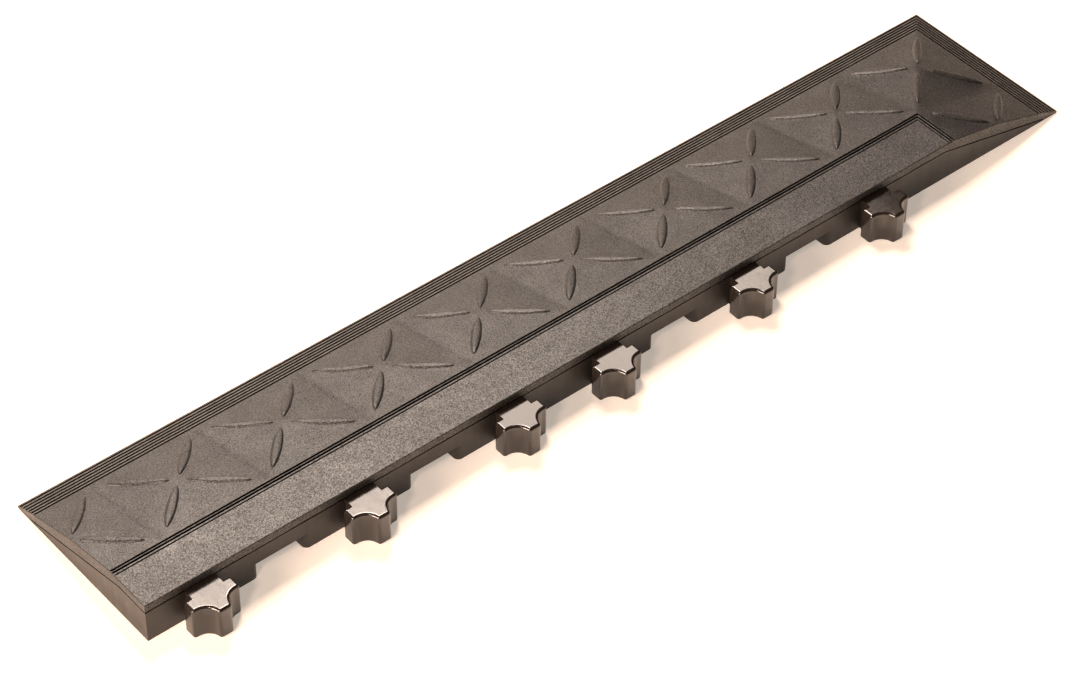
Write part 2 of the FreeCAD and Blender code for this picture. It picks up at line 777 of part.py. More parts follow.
def make_keeper_screws():
    """Screws that hold the keeper plates."""
    head_low = d.root_floor - d.keeper_thick - d.small_head_height
    return group("keeper_screw_group", [
        screw("keeper_screw_%d" % n, x, y, head_low, d.small_head_height, d.small_head,
              d.small_shank, d.root_floor + d.small_insert_length - d.tip_back)
        for n, (x, y) in enumerate(keeper_spots())])


def make_keeper_inserts():
    """Threaded inserts in the base for the keeper screws."""
    return group("keeper_insert_group", [
        tube("keeper_insert_%d" % n, d.small_insert, d.small_shank + d.gap, x, y,
             d.root_floor, d.root_floor + d.small_insert_length)
        for n, (x, y) in enumerate(keeper_spots())])


def make_cover_screws():
    """Screws from below that hold the cover down."""
    items = []
    for n, (x, y) in enumerate(cover_screw_spots()):
        head_low = seat_height(x, y) - d.washer_thick - d.big_head_height
        items.append(screw("cover_screw_%d" % n, x, y, head_low, d.big_head_height, d.big_head,
                           d.big_shank, insert_foot(x, y) + d.big_insert_length - d.tip_back))
    return group("cover_screw_group", items)


def make_cover_washers():
    """Washers between the cover screws' heads and the base."""
    items = []
    for n, (x, y) in enumerate(cover_screw_spots()):
        seat = seat_height(x, y)
        items.append(tube("cover_washer_%d" % n, d.washer_radius, d.big_shank + d.gap, x, y,
                          seat - d.washer_thick, seat))
    return group("cover_washer_group", items)


def make_cover_inserts():
    """Threaded inserts moulded into the cover."""
    items = []
    for n, (x, y) in enumerate(cover_screw_spots()):
        foot = insert_foot(x, y)
        items.append(tube("cover_insert_%d" % n, d.big_insert, d.big_shank + d.gap, x, y,
                          foot, foot + d.big_insert_length))
    return group("cover_insert_group", items)


def make_grip(name, low, high):
    """A soft strip let into the underside."""
    return box("grip_" + name, (low[0], low[1], 0), (high[0], high[1], d.grip_thick))


FRAME_SHIFT = (-length / 2, (d.lug_reach - d.ramp_width) / 2)


def finish(obj, label, x=0, y=0, z=0):
    """Name a finished piece and move it into the part's frame."""
    obj.Label = label
    x = as_size(x) + FRAME_SHIFT[0]
    y = as_size(y) + FRAME_SHIFT[1]
    locate(obj, x, y, z)
    return obj


pieces = [finish(make_cover(), "tread_cover"), finish(make_base(), "ramp_base")]
for number in range(len(LUG_CELLS)):
    name = "connector_lug_%d" % (number + 1)
    pieces.append(finish(make_lug(number), name, lug_middle(number)))
    name = "lug_keeper_plate_%d" % (number + 1)
    pieces.append(finish(make_keeper(number), name, lug_middle(number), keeper_screw_y(),
                         d.root_floor - d.keeper_thick))
pieces.append(finish(make_keeper_screws(), "keeper_screws"))
pieces.append(finish(make_keeper_inserts(), "keeper_inserts"))
pieces.append(finish(make_cover_screws(), "cover_screws"))
pieces.append(finish(make_cover_washers(), "cover_screw_washers"))
pieces.append(finish(make_cover_inserts(), "cover_inserts"))
for strip, (low, high) in grip_spans():
    obj = make_grip(strip, low, high)
    pieces.append(finish(obj, "grip_strip_" + strip, low[0], low[1]))

doc.recompute()

for obj in doc.Objects:
    if "Invalid" in obj.State or "Error" in obj.State:
        raise RuntimeError("%s did not compute: %s" % (obj.Name, obj.State))
for obj in pieces:
    shape = obj.Shape
    if shape.isNull() or not shape.isValid():
        raise RuntimeError("%s has no valid shape" % obj.Label)
    shape.exportStep(os.path.join("parts", obj.Label + ".step"))
    bounds = shape.BoundBox
    print("%-22s solids %2d volume %10.0f  x %8.1f %8.1f  y %7.1f %7.1f  z %6.2f %6.2f" % (
        obj.Label, len(shape.Solids), shape.Volume, bounds.XMin, bounds.XMax,
        bounds.YMin, bounds.YMax, bounds.ZMin, bounds.ZMax))
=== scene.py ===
import math

import bpy
import numpy as np
from bpy.props import (BoolProperty, FloatProperty, FloatVectorProperty, IntProperty,
                       PointerProperty)
from bpy.types import Operator, Panel, PropertyGroup
from mathutils import Matrix, Vector


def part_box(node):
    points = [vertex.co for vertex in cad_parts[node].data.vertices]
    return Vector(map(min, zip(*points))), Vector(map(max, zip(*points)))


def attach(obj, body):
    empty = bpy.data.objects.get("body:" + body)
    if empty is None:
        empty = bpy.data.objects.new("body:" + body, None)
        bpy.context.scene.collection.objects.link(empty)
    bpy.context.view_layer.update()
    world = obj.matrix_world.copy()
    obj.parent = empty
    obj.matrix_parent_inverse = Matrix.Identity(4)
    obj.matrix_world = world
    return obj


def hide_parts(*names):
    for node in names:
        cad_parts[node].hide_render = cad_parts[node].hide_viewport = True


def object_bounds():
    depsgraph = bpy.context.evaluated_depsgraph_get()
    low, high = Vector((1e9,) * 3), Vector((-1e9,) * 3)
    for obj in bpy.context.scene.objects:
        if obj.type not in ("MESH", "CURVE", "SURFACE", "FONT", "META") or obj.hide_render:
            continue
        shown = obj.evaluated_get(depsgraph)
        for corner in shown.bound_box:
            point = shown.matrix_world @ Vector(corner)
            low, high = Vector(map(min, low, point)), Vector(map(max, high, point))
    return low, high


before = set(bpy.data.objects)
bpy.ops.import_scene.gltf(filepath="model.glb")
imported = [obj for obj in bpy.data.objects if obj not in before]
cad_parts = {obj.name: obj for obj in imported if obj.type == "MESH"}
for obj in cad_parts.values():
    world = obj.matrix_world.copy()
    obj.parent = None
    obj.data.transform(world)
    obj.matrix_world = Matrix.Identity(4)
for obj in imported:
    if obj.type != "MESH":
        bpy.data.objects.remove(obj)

bl_info = {
    "name": "Cable Protector Ramp",
    "version": (1, 0, 0),
    "blender": (4, 5, 0),
    "location": "3D View > Sidebar > Ramp",
    "description": "Builds a hipped rubber edge ramp with its connector lugs, materials and studio",
    "category": "Object",
}

# The ramp runs along X from its square end to its hipped end. Y goes from the high wall to
# the long toe, and Z is up from the floor. All lengths are in metres.
CAD_BOX = [[float(v) for v in corner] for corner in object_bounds()]
COVER_LOW, COVER_HIGH = [tuple(corner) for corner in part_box("tread_cover")]
LUG_NODES = sorted(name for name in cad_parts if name.startswith("connector_lug_"))
KEEPER_NODES = sorted(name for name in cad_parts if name.startswith("lug_keeper_plate_"))

START_X = COVER_LOW[0]
WALL_Y = COVER_LOW[1]
RAMP_LENGTH = COVER_HIGH[0] - COVER_LOW[0]
RAMP_WIDTH = COVER_HIGH[1] - COVER_LOW[1]
DECK_HEIGHT = 0.04445
# Width and depth of each deck groove, from the tread side, as shares of the first one's.
DECK_GROOVE_SHARES = (1.0, 1.0, 0.65)
MM = 0.001
# Points this close to the mitre count as lying on it.
ON_MITRE = 1e-7
# The grooves stop this far inside the rounded ends.
GROOVE_STOP = 0.1 * MM
# Points of the field that the cells lift by less than this count as valley.
VALLEY_HEIGHT = 0.05 * MM
# Even rows of the mesh keep this far from a groove's own rows.
ROW_CLEARANCE = 0.05 * MM
# The joint's slit as a share of its full size: mean, wander and what is left at the toe.
SLIT_MEAN = 0.9
SLIT_WANDER = 0.14
SLIT_AT_TOE = 0.12
# Height of the toe face's lower edge, as a share of the tip's height.
TOE_FACE_SHARE = 0.35
# A bar's flanks and run-ins as shares of its half width and half length, its crown's fall,
# and how far its foot, its underside and its tips lie below the cell.
BAR_FLANK = 0.34
BAR_RUN_IN = 0.35
BAR_CROWN = 0.5
BAR_DIP = 0.15 * MM
BAR_DEPTH = 0.6 * MM
BAR_TIP_DEPTH = 0.2 * MM


# ---------------------------------------------------------------------------------------
# Settings
# ---------------------------------------------------------------------------------------

def metres(name, description, default, **limits):
    """A setting that holds a length in metres."""
    return FloatProperty(name=name, description=description, default=default, unit="LENGTH",
                         **limits)


def rgb(name, description, default):
    """A setting that holds a colour."""
    return FloatVectorProperty(name=name, description=description, default=default, size=3,
                               subtype="COLOR", min=0.0, max=1.0)


class RampTreadSettings(PropertyGroup):
    """Sizes of the tread cover."""

    cell_length: metres(
        "Cell length", "Length of one tread cell along the ramp", 0.1143, min=0.02)
    straight_cells: IntProperty(
        name="Straight cells", description="Tread cells before the corner", default=8, min=1)
    deck_width: metres("Deck width", "High wall to the first tread cell", 0.0531)
    toe_band: metres("Toe band", "Width of the grooved band at the toe", 0.0284)
    toe_inner_height: metres("Toe band height", "Height of the toe band's upper edge", 0.0132)
    toe_tip_height: metres("Toe tip height", "Height of the toe's outer edge", 0.0022)
    toe_nose: metres("Nose setback", "How far the toe's lower edge stands back", 0.0022)
    cell_rise: metres("Cell rise", "Height of a cell's middle above the slope", 0.0038)
    cell_steps: IntProperty(
        name="Cell steps", description="Mesh steps across one tread cell", default=20, min=4)
    edge_round: metres("Edge round", "Rounding of the cover's upper edges", 0.0009)
    lip_round: metres("Lip round", "Rounding of the grooves' lips", 0.00035)
    toe_grooves: IntProperty(
        name="Toe grooves", description="Grooves in the toe band", default=6, min=1)
    toe_groove_width: metres("Toe groove width", "Width of a toe groove", 0.0024)
    toe_groove_depth: metres("Toe groove depth", "Depth of a toe groove", 0.0022)
    deck_groove_width: metres(
        "Deck groove width", "Width of the deck's two main grooves", 0.0020)
    deck_groove_depth: metres(
        "Deck groove depth", "Depth of the deck's two main grooves", 0.0024)
    deck_groove_step: metres("Deck groove step", "Spacing of the deck grooves", 0.0031)
    bar_length: metres("Bar length", "Length of a raised tread bar", 0.0585)
    bar_width: metres("Bar width", "Width of a raised tread bar", 0.0106)
    bar_height: metres("Bar height", "Height of a raised tread bar", 0.0023)
    bar_middle: FloatProperty(
        name="Bar middle", description="Where a bar's middle lies on its ridge",
        default=0.45, min=0.2, max=0.8, subtype="FACTOR")
    base_height: metres("Joint height", "Floor to the joint under the cover", 0.034925)
    base_flat: metres("Joint flat", "High wall to where the joint starts to fall", 0.0400)
    base_toe: metres("Joint reach", "High wall to the joint's thin edge", 0.1830)
    base_toe_height: metres("Joint edge height", "Height of the joint's thin edge", 0.0012)
    joint_gap: metres("Joint gap", "Height of the open slit between cover and base", 0.0016)
    joint_depth: metres("Joint depth", "Depth of the open slit between cover and base", 0.0020)


class RampLugSettings(PropertyGroup):
    """Sizes of a connector lug."""

    side: metres("Half span", "Lug middle to the end of a side arm", 0.0250)
    reach: metres("Reach", "High wall to the end of the front arm", 0.0380)
    hollow: metres("Hollow radius", "Radius of the hollows between the arms", 0.0140)
    ledge: metres("Ledge", "Flat front of a side arm", 0.0040)
    gap: metres("Gap", "High wall to the side arms", 0.0094)
    neck: metres("Half neck", "Lug middle to the neck's side", 0.0159)
    edge: metres("Top edge", "Rounding of the top edge", 0.0028)
    foot: metres("Foot edge", "Rounding of the lower edge", 0.0022)
    corner: metres("Corner round", "Rounding of the arms' upright corners", 0.0030)
    root_half: metres("Half root", "Half width of the root inside the wall", 0.0200)
    root_start: metres("Root start", "High wall to the root", 0.0140)
    root_end: metres("Root end", "High wall to the far side of the root", 0.0280)
    root_floor: metres("Root floor", "Floor to the underside of the root", 0.0070)


class RampFinishSettings(PropertyGroup):
    """Colours and surface character."""

    cover_color: rgb("Cover rubber", "Colour of the tread cover", (0.011, 0.0088, 0.0077))
    base_color: rgb("Base rubber", "Colour of the base", (0.016, 0.0116, 0.0090))
    lug_color: rgb("Lug polymer", "Colour of the connector lugs", (0.014, 0.0104, 0.0084))
    steel_color: rgb(
        "Plated steel", "Colour of the screws, washers and keepers", (0.62, 0.62, 0.60))
    brass_color: rgb("Brass", "Colour of the threaded inserts", (0.72, 0.54, 0.25))
    grip_color: rgb("Grip rubber", "Colour of the strips under the ramp", (0.032, 0.032, 0.033))
    grain: FloatProperty(
        name="Grain", description="Strength of the moulded grain", default=0.35, min=0.0,
        max=1.0, subtype="FACTOR")


class RampStageSettings(PropertyGroup):
    """Floor, light and camera."""

    floor_color: rgb("Floor", "Colour of the studio floor", (0.94, 0.82, 0.71))
    light_color: rgb(
        "Ceiling light", "Colour of the softboxes overhead and of the room", (1.0, 0.84, 0.725))
    low_light_color: rgb(
        "Side light", "Colour of the softboxes at the left and front", (1.0, 0.79, 0.66))
    floor_glow: FloatProperty(
        name="Floor glow", description="Light given off by the backlit floor sheet",
        default=0.47, min=0.0)
    lens: FloatProperty(
        name="Lens", description="Focal length", default=111.03, min=10.0, unit="CAMERA")
    show_floor: BoolProperty(
        name="Floor shown", description="Show the studio floor", default=True)


SETTINGS = (("ramp_tread", RampTreadSettings), ("ramp_lug", RampLugSettings),
            ("ramp_finish", RampFinishSettings), ("ramp_stage", RampStageSettings))


# ---------------------------------------------------------------------------------------
# Mesh helpers
# ---------------------------------------------------------------------------------------

def new_piece(name, points, faces, node_names, material, sharp=35.0):
    """Make a mesh object from points and faces, smooth it up to an angle and hand it to the frame."""
    mesh = bpy.data.meshes.new(name)
    mesh.from_pydata(points.tolist(), [], faces)
    mesh.validate()
    mesh.shade_smooth()
    mesh.set_sharp_from_angle(angle=math.radians(sharp))
    mesh.materials.append(material)
    mesh.update()
    piece = bpy.data.objects.new(name, mesh)
    bpy.context.scene.collection.objects.link(piece)
    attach(piece, "root")
    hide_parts(*node_names)
    return piece


def store(piece, name, values):
    """Keep one number per point on the mesh, for its material to read."""
    layer = piece.data.attributes.new(name, "FLOAT", "POINT")
    layer.data.foreach_set("value", np.asarray(values, np.float32))


def ring_faces(first, second):
    """Quads between two rings of point numbers, the second ring lying outwards or below."""
    a, b = np.asarray(first), np.asarray(second)
    return np.stack([a, b, np.roll(b, -1), np.roll(a, -1)], axis=1).tolist()


# ---------------------------------------------------------------------------------------
# Tread cover
# ---------------------------------------------------------------------------------------

def plain_slope(tread, out):
    """Height of the cover without its relief, at a distance from the high side.

    Flat over the deck, then a straight fall to the toe band, then a steeper one to the tip."""
    inner = RAMP_WIDTH - tread.toe_band
    return np.interp(out, [tread.deck_width, inner, RAMP_WIDTH],
                     [DECK_HEIGHT, tread.toe_inner_height, tread.toe_tip_height])


def joint_slope(tread, out):
    """Height of the joint under the cover: flat, a straight fall, and the floor past its edge."""
    fall = np.interp(out, [tread.base_flat, tread.base_toe],
                     [tread.base_height, tread.base_toe_height])
    return np.where(out > tread.base_toe + 0.02 * MM, 0.0, fall)


def groove_section(start, width, depth, lip):
    """Distances and drops of one groove: rounded lip, steep wall, flat floor, and back up."""
    wall = 0.12 * MM
    near = np.array([-lip - 0.30 * MM, -lip, -0.35 * lip, 0.0, wall])
    drop = np.array([0.0, 0.0, 0.25 * lip, lip, depth])
    out = np.concatenate([start + near, (start + width - near)[::-1]])
    return out, np.concatenate([drop, drop[::-1]])


def groove_sections(tread):
    """Distances and drops of every groove: the toe's, then the deck's from the tread side."""
    inner = RAMP_WIDTH - tread.toe_band
    sections = []
    for number in range(tread.toe_grooves):
        start = inner + tread.toe_band / tread.toe_grooves * number
        sections.append(groove_section(start, tread.toe_groove_width, tread.toe_groove_depth,
                                       tread.lip_round))
    first = tread.deck_width - tread.deck_groove_width
    for number, share in enumerate(DECK_GROOVE_SHARES):
        start = first - tread.deck_groove_step * number
        sections.append(groove_section(start, tread.deck_groove_width * share,
                                       tread.deck_groove_depth * share,
                                       tread.lip_round * share))
    return sections


def relief_rows(tread):
    """Distances from the high side where the mesh has a row, and how far each row drops.

    Grooves give their own sections. The deck and the field add even steps between them."""
    sections = groove_sections(tread)
    grooved = np.concatenate([s[0] for s in sections])
    drops = np.concatenate([s[1] for s in sections])
    order = np.argsort(grooved)
    grooved, drops = grooved[order], drops[order]
    step = tread.cell_length / tread.cell_steps
    deck = np.arange(1, int(tread.deck_width / step) + 1) * step
    field = np.linspace(tread.deck_width, RAMP_WIDTH - tread.toe_band, tread.cell_steps + 1)
    joint = np.array([tread.base_toe - ROW_CLEARANCE, tread.base_toe + ROW_CLEARANCE])
    tip = [RAMP_WIDTH - 0.4 * MM, RAMP_WIDTH]
    plain = np.concatenate([edge_rows(tread), deck, field, joint, tip])
    spans = [(s[0].min(), s[0].max()) for s in sections]
    keep = np.ones(len(plain), bool)
    for low, high in spans:
        keep &= (plain < low - ROW_CLEARANCE) | (plain > high + ROW_CLEARANCE)
    plain = plain[keep]
    rows = np.concatenate([plain, grooved])
    falls = np.concatenate([np.zeros(len(plain)), drops])
    rows, index = np.unique(np.round(rows, 8), return_index=True)
    return rows, falls[index]


def edge_rows(tread):
    """Distances from an upright face that follow its rounded upper edge."""
    turn = np.radians([0.0, 22.5, 45.0, 67.5, 90.0])
    return np.concatenate([tread.edge_round * (1 - np.cos(turn)), [tread.edge_round + 0.5 * MM]])


def edge_drop(tread, out):
    """How far the rounded edge falls below the top: a quarter circle next to the face."""
    inside = np.clip(tread.edge_round - out, 0.0, tread.edge_round)
    return tread.edge_round - np.sqrt(tread.edge_round ** 2 - inside ** 2)


def straight_length(tread):
    """Length of the ramp before its corner."""
    return tread.cell_length * tread.straight_cells


def pyramid(x, y, middle_x, middle_y, length, width):
    """A cell's share of its rise: one over its middle, falling evenly to zero at its sides."""
    sideways = np.maximum(np.abs(x - middle_x) * 2 / length, np.abs(y - middle_y) * 2 / width)
    return np.clip(1.0 - sideways, 0.0, 1.0)


def cell_height(tread, x, y):
    """Height that the tread cells add to the slope at x, y in the ramp's own frame."""
    straight = straight_length(tread)
    field = RAMP_WIDTH - tread.toe_band - tread.deck_width
    middle = tread.deck_width + field / 2
    number = np.clip(np.round(x / tread.cell_length), 0, tread.straight_cells)
    along = pyramid(x, y, number * tread.cell_length, middle, tread.cell_length, field)
    corner = pyramid(x, y, straight + middle, middle, field, field)
    end = pyramid(x, y, straight + middle, 0.0, field, tread.cell_length)
    long_side = y >= x - straight - ON_MITRE
    return tread.cell_rise * np.maximum(corner, np.where(long_side, along, end))


def cover_height(tread, x, y):
    """Height of the cover without grooves and bars, at x, y in the ramp's own frame."""
    out = np.maximum(y, x - straight_length(tread))
    return plain_slope(tread, out) + cell_height(tread, x, y)


def split_quads(tread, xs, ys):
    """Two triangles for each square of the grid, cut along the ridge that crosses it."""
    straight = straight_length(tread)
    field = RAMP_WIDTH - tread.toe_band - tread.deck_width
    middle = tread.deck_width + field / 2
    x = ((xs[:-1] + xs[1:]) / 2)[:, None]
    y = ((ys[:-1] + ys[1:]) / 2)[None, :]
    number = np.clip(np.round(x / tread.cell_length), 0, tread.straight_cells)
    hip = x > straight + tread.deck_width
    from_middle = np.where(hip, x - straight - middle, x - number * tread.cell_length)
    rising = from_middle * (y - middle) > 0
    in_field = (y > tread.deck_width) & (y < tread.deck_width + field)
    end_cell = hip & (y < tread.deck_width)
    rising = np.where(in_field, rising, True)
    rising = np.where(end_cell & (x - straight < middle), False, rising)
    count = len(ys)
    i, j = np.meshgrid(np.arange(len(xs) - 1), np.arange(count - 1), indexing="ij")
    a, b = i * count + j, (i + 1) * count + j
    c, d = b + 1, a + 1
    up = np.stack([np.stack([a, b, c], -1), np.stack([a, c, d], -1)], -2)
    down = np.stack([np.stack([a, b, d], -1), np.stack([b, c, d], -1)], -2)
    return np.where(rising[..., None, None], up, down).reshape(-1, 3)


def border(nx, ny):
    """Point numbers round the outside of a grid, anticlockwise from above."""
    south = np.arange(nx) * ny
    east = (nx - 1) * ny + np.arange(ny)
    north = np.arange(nx)[::-1] * ny + ny - 1
    west = np.arange(ny)[::-1]
    return np.concatenate([south[:-1], east[:-1], north[:-1], west[:-1]])


def draw_in(value, near, length, far):
    """A coordinate from 0 to length, drawn in by near at 0 and by far at the other end.

    The draw fades out evenly over the first and the last 6 mm."""
    fade = 6.0 * MM
    start = np.clip(1 - value / fade, 0.0, 1.0)
    end = np.clip(1 - (length - value) / fade, 0.0, 1.0)
    return value + near * start - far * end


def relief_grid(tread):
    """The cover's columns and rows, and how far the grooves drop each point of their grid.

    Past the corner the columns repeat the rows, so the mitre runs through corners of the
    grid. The grooves stop just inside the ends."""
    straight = straight_length(tread)
    ys, falls = relief_rows(tread)
    step = tread.cell_length / tread.cell_steps
    even = np.arange(1, tread.straight_cells * tread.cell_steps) * step
    even = even[even > tread.edge_round + MM]
    xs = np.concatenate([edge_rows(tread), even, straight + ys])
    x_falls = np.concatenate([np.zeros(len(xs) - len(ys)), falls])
    x, y = np.meshgrid(xs, ys, indexing="ij")
    long_side = y >= x - straight - ON_MITRE
    drop = np.where(long_side, falls[None, :], x_falls[:, None])
    inside = np.minimum(x, y) > tread.edge_round + GROOVE_STOP
    return xs, ys, np.where(inside, drop, 0.0)


def cover_marks(tread, x, y, drop):
    """Each grid point's share of groove, of valley between cells and of ridge on the toe."""
    out = np.maximum(y, x - straight_length(tread))
    field_end = RAMP_WIDTH - tread.toe_band
    in_field = (out > tread.deck_width + MM) & (out < field_end - MM)
    valley = in_field & (cell_height(tread, x, y) < VALLEY_HEIGHT)
    ridge = (out > field_end) & (drop == 0.0)
    return {"groove": np.clip(drop / tread.toe_groove_depth, 0.0, 1.0),
            "valley": valley.astype(float), "ridge": ridge.astype(float)}


def slit_shares(tread, x, y, out):
    """Size of the joint's slit as a share of its full size: two slow waves, less at the toe."""
    wander = SLIT_MEAN + SLIT_WANDER * np.sin(x * 61.0) * np.sin(y * 47.0 + x * 23.0 + 1.3)
    return np.where(out < tread.base_toe, wander, SLIT_AT_TOE)


def cover_shell(tread):
    """The cover as a closed shell over its grid, with a mark of each kind for each point.

    The top is the slope plus the cells, less the grooves and the rounded edges. The
    underside is the joint with the base. Round the sides a band runs down, then inwards over
    the open slit of the joint, then down to the underside. Hidden points count as groove."""
    xs, ys, drop = relief_grid(tread)
    x, y = np.meshgrid(xs, ys, indexing="ij")
    out = np.maximum(y, x - straight_length(tread))
    raised = cover_height(tread, x, y) - drop
    top = raised - edge_drop(tread, y) - edge_drop(tread, x)
    under = joint_slope(tread, out)
    slit = slit_shares(tread, x, y, out)
    under_x = draw_in(x, tread.joint_depth * slit, RAMP_LENGTH, tread.toe_nose)
    under_y = draw_in(y, tread.joint_depth * slit, RAMP_WIDTH, tread.toe_nose)
    top_points = np.stack([x, y, top], -1).reshape(-1, 3)
    under_points = np.stack([under_x, under_y, under], -1).reshape(-1, 3)
    rim = border(len(xs), len(ys))
    lowest = (under + tread.joint_gap * slit).reshape(-1)[rim]
    rim_points = top_points[rim]
    at_toe = (rim_points[:, 1] > RAMP_WIDTH - MM) | (rim_points[:, 0] > RAMP_LENGTH - MM)
    rim_points[:, 2] = np.where(at_toe, TOE_FACE_SHARE * tread.toe_tip_height,
                                np.minimum(lowest, rim_points[:, 2]))
    inner_points = under_points[rim]
    inner_points[:, 2] = lowest
    points = np.concatenate([top_points, under_points, rim_points, inner_points])
    count = len(top_points)
    faces = split_quads(tread, xs, ys)
    band = np.arange(len(rim)) + 2 * count
    inner = band + len(rim)
    shell = np.concatenate([faces, faces[:, ::-1] + count]).tolist()
    shell += ring_faces(rim, band)
    shell += ring_faces(band, inner)
    shell += ring_faces(inner, rim + count)
    marks = {}
    for name, shown in cover_marks(tread, x, y, drop).items():
        hidden = 1.0 if name == "groove" else 0.0
        marks[name] = np.concatenate([shown.reshape(-1), np.full(count, hidden),
                                      np.zeros(len(rim)), np.full(len(rim), hidden)])
    return points, shell, marks


def bar_places(tread):
    """Ends of every ridge that carries a bar, as (middle, corner) pairs in the ramp's own frame.

    Each cell has four, from its middle to its corners. The square end halves the first cell,
    and the short run's last cell keeps the two that point inwards."""
    straight = straight_length(tread)
    inner = RAMP_WIDTH - tread.toe_band
    middle = (tread.deck_width + inner) / 2
    half = (inner - tread.deck_width) / 2
    places = []
    for number in range(tread.straight_cells + 1):
        x = number * tread.cell_length
        for side in (-1, 1):
            for far in (-1, 1):
                if number > 0 or side > 0:
                    corner = (x + side * tread.cell_length / 2, middle + far * half)
                    places.append(((x, middle), corner))
    hip = straight + middle
    for side in (-1, 1):
        for far in (-1, 1):
            places.append(((hip, middle), (hip + side * half, middle + far * half)))
        places.append(((hip, 0.0), (hip + side * half, tread.cell_length / 2)))
    return np.array(places)


def bar_lift(tread, t, w):
    """Height of a bar above its ridge, at t along it and w across it, both from -1 to 1.

    It is a crown (1 - 0.5 w^2) times a smooth fall over the outer part of w, times a rounded
    run-in at the ends."""
    flank = np.clip((1 - np.abs(w)) / BAR_FLANK, 0.0, 1.0)
    flank = flank * flank * (3 - 2 * flank)
    run_in = np.clip((1 - np.abs(t)) / BAR_RUN_IN, 0.0, 1.0)
    run_in = np.sqrt(run_in * (2 - run_in))
    return tread.bar_height * run_in[:, None] * (flank * (1 - BAR_CROWN * w ** 2))[None, :]


def bar_faces(stations, width):
    """Faces of one bar: rings joined along it, and a fan round the tip at each end."""
    rows = np.arange(stations * width).reshape(stations, width)
    faces = []
    for row in range(stations - 1):
        faces += ring_faces(rows[row + 1], rows[row])
    first_tip, last_tip = stations * width, stations * width + 1
    faces += [[first_tip, a, b] for a, b in zip(rows[0], np.roll(rows[0], -1))]
    faces += [[last_tip, b, a] for a, b in zip(rows[-1], np.roll(rows[-1], -1))]
    return faces


def bar_shells(tread, stations=25, around=11):
    """Every bar as a closed shell lying on its ridge, and each point's share of the lift.

    t runs from end to end and w from side to side, both from -1 to 1. The half width is the
    lens (1 - t^2)^0.62. The foot follows the cell at the sides and the ridge in the middle,
    and dips just under the cell."""
    places = bar_places(tread)
    start, ridge = places[:, 0], places[:, 1] - places[:, 0]
    reach = np.linalg.norm(ridge, axis=1)
    ahead = ridge / reach[:, None]
    side = np.stack([-ahead[:, 1], ahead[:, 0]], -1)
    t = -np.cos(np.linspace(0.06, math.pi - 0.06, stations))
    w = np.linspace(-1.0, 1.0, around)
    w = np.sign(w) * np.abs(w) ** 0.6
    across = (tread.bar_width / 2 * (1 - t ** 2) ** 0.62)[:, None] * w[None, :]
    middle = start + ahead * (reach * tread.bar_middle)[:, None]
    half_length = tread.bar_length / 2
    along = middle[:, None, :] + ahead[:, None, :] * (t * half_length)[None, :, None]
    spot = along[:, :, None, :] + side[:, None, None, :] * across[None, :, :, None]
    on_cell = cover_height(tread, spot[..., 0], spot[..., 1])
    on_ridge = cover_height(tread, along[..., 0], along[..., 1])[..., None]
    share = w ** 2
    lift = bar_lift(tread, t, w)
    foot = np.where(np.abs(w) > 0.999, -BAR_DIP, 0.0)[None, None, :]
    height = on_ridge * (1 - share) + on_cell * share + lift[None] + foot
    top = np.concatenate([spot, height[..., None]], -1)
    bottom = np.concatenate([spot, (on_cell - BAR_DEPTH)[..., None]], -1)[:, :, 1:-1]
    ends = np.array([-half_length, half_length])[None, :, None]
    tips = middle[:, None, :] + ahead[:, None, :] * ends
    tip_z = cover_height(tread, tips[..., 0], tips[..., 1]) - BAR_TIP_DEPTH
    tips = np.concatenate([tips, tip_z[..., None]], -1)
    loop = np.concatenate([top, bottom[:, :, ::-1]], 2)
    points = np.concatenate([loop.reshape(len(places), -1, 3), tips], 1)
    shown = np.concatenate([np.repeat(lift[None], len(places), 0) / tread.bar_height,
                            np.zeros(bottom.shape[:3])], 2).reshape(len(places), -1)
    shown = np.concatenate([shown, np.zeros((len(places), 2))], 1)
    one, size = bar_faces(stations, loop.shape[2]), points.shape[1]
    faces = [[v + number * size for v in face] for number in range(len(places)) for face in one]
    return points.reshape(-1, 3), faces, shown.reshape(-1)


class RAMP_OT_build_cover(Operator):
    """Build the moulded tread cover: deck, tread cells, bars, grooves and toe"""

    bl_idname = "ramp.build_cover"
    bl_label = "Build tread cover"

    def execute(self, context):
        tread = context.scene.ramp_tread
        points, faces, marks = cover_shell(tread)
        bars, faces_of_bars, lift = bar_shells(tread)
        shift = len(points)
        faces = faces + [[int(v) + shift for v in face] for face in faces_of_bars]
        raised = np.concatenate([np.zeros(shift), lift])
        flat = np.zeros(len(bars))
        points = np.concatenate([points, bars])
        points = points + np.array([START_X, WALL_Y, 0.0])
        material = cover_rubber(context.scene.ramp_finish)
        piece = new_piece("tread_cover_moulding", points, faces, ["tread_cover"],
                          material)
        store(piece, "bar", raised)
        for name, values in marks.items():
            store(piece, name, np.concatenate([values, flat]))
        return {"FINISHED"}


# ---------------------------------------------------------------------------------------
# Connector lugs
# ---------------------------------------------------------------------------------------

def corner_arc(before, corner, after, radius, steps=7):
    """Points of a rounded corner: a quadratic curve that leaves and meets the two sides."""
    before, corner, after = [np.asarray(p, float) for p in (before, corner, after)]
    back, ahead = before - corner, after - corner
    start = corner + back / np.linalg.norm(back) * radius
    end = corner + ahead / np.linalg.norm(ahead) * radius
    t = np.linspace(0.0, 1.0, steps)[:, None]
    return (1 - t) ** 2 * start + 2 * t * (1 - t) * corner + t ** 2 * end


